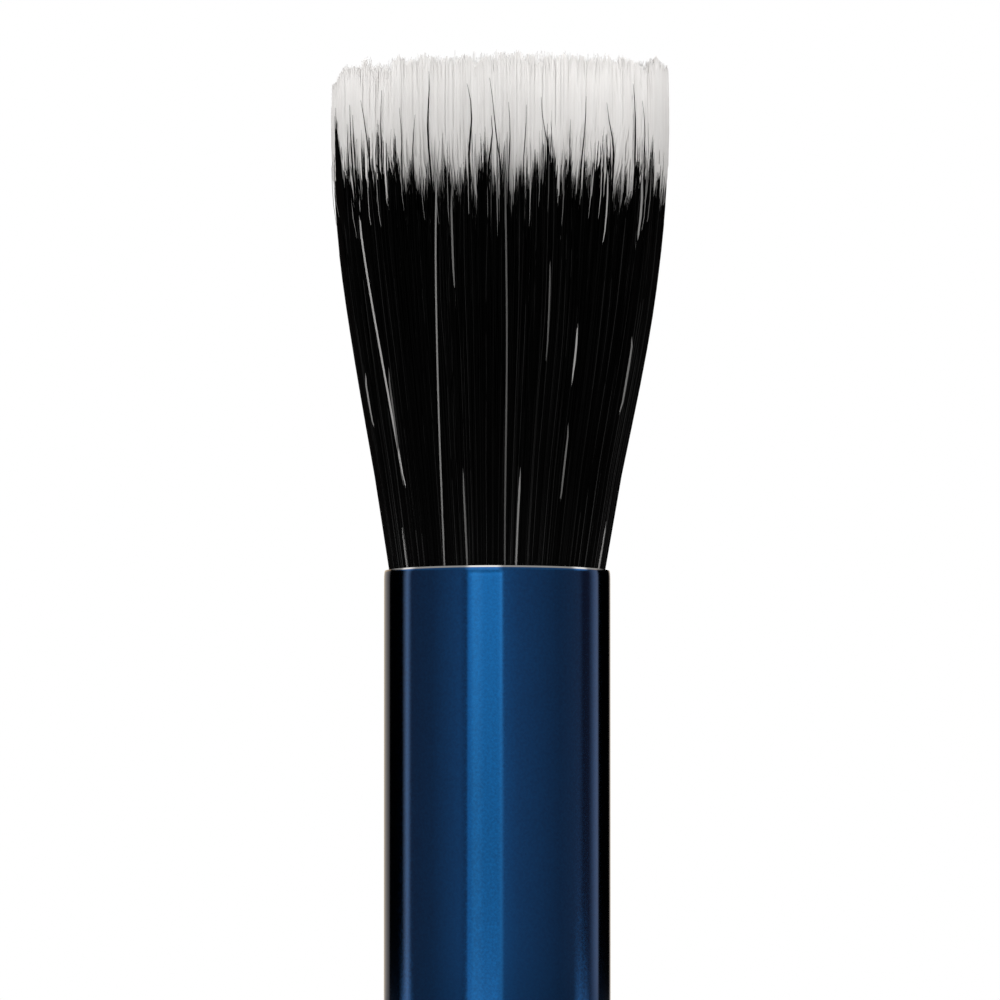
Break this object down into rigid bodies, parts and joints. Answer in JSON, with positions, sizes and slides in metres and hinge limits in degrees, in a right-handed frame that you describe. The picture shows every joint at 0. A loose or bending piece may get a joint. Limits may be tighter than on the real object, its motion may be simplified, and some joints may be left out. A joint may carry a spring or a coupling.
{
  "type": "round stipple brush",
  "caption": "Round flat-topped stipple brush: flared head of black hair with longer white fibre tips, set in a crimped blue metal ferrule on a slim turned handle, for dabbing on colour.",
  "frame": {"origin": "centre of the flat on the butt of the handle", "axes": "+Z along the brush from the butt to the fibre tips; the brush is round, so X and Y are free"},
  "size_m": [0.0254, 0.0254, 0.185],
  "materials": {
    "black_lacquer": "black gloss lacquer on turned wood",
    "blue_anodised": "blue anodised aluminium, bright drawn",
    "cured_glue": "cured epoxy, amber",
    "waxed_thread": "waxed binding thread",
    "black_hair": "dense natural hair, faint sheen",
    "white_fibre": "soft tapered fibre, matte"
  },
  "bodies": {
    "root": {"handle": "black_lacquer", "handle_glue": "cured_glue", "ferrule": "blue_anodised", "root_glue": "cured_glue", "root_binding": "waxed_thread", "black_hair": "black_hair", "white_fibre": "white_fibre"}
  },
  "joints": []
}
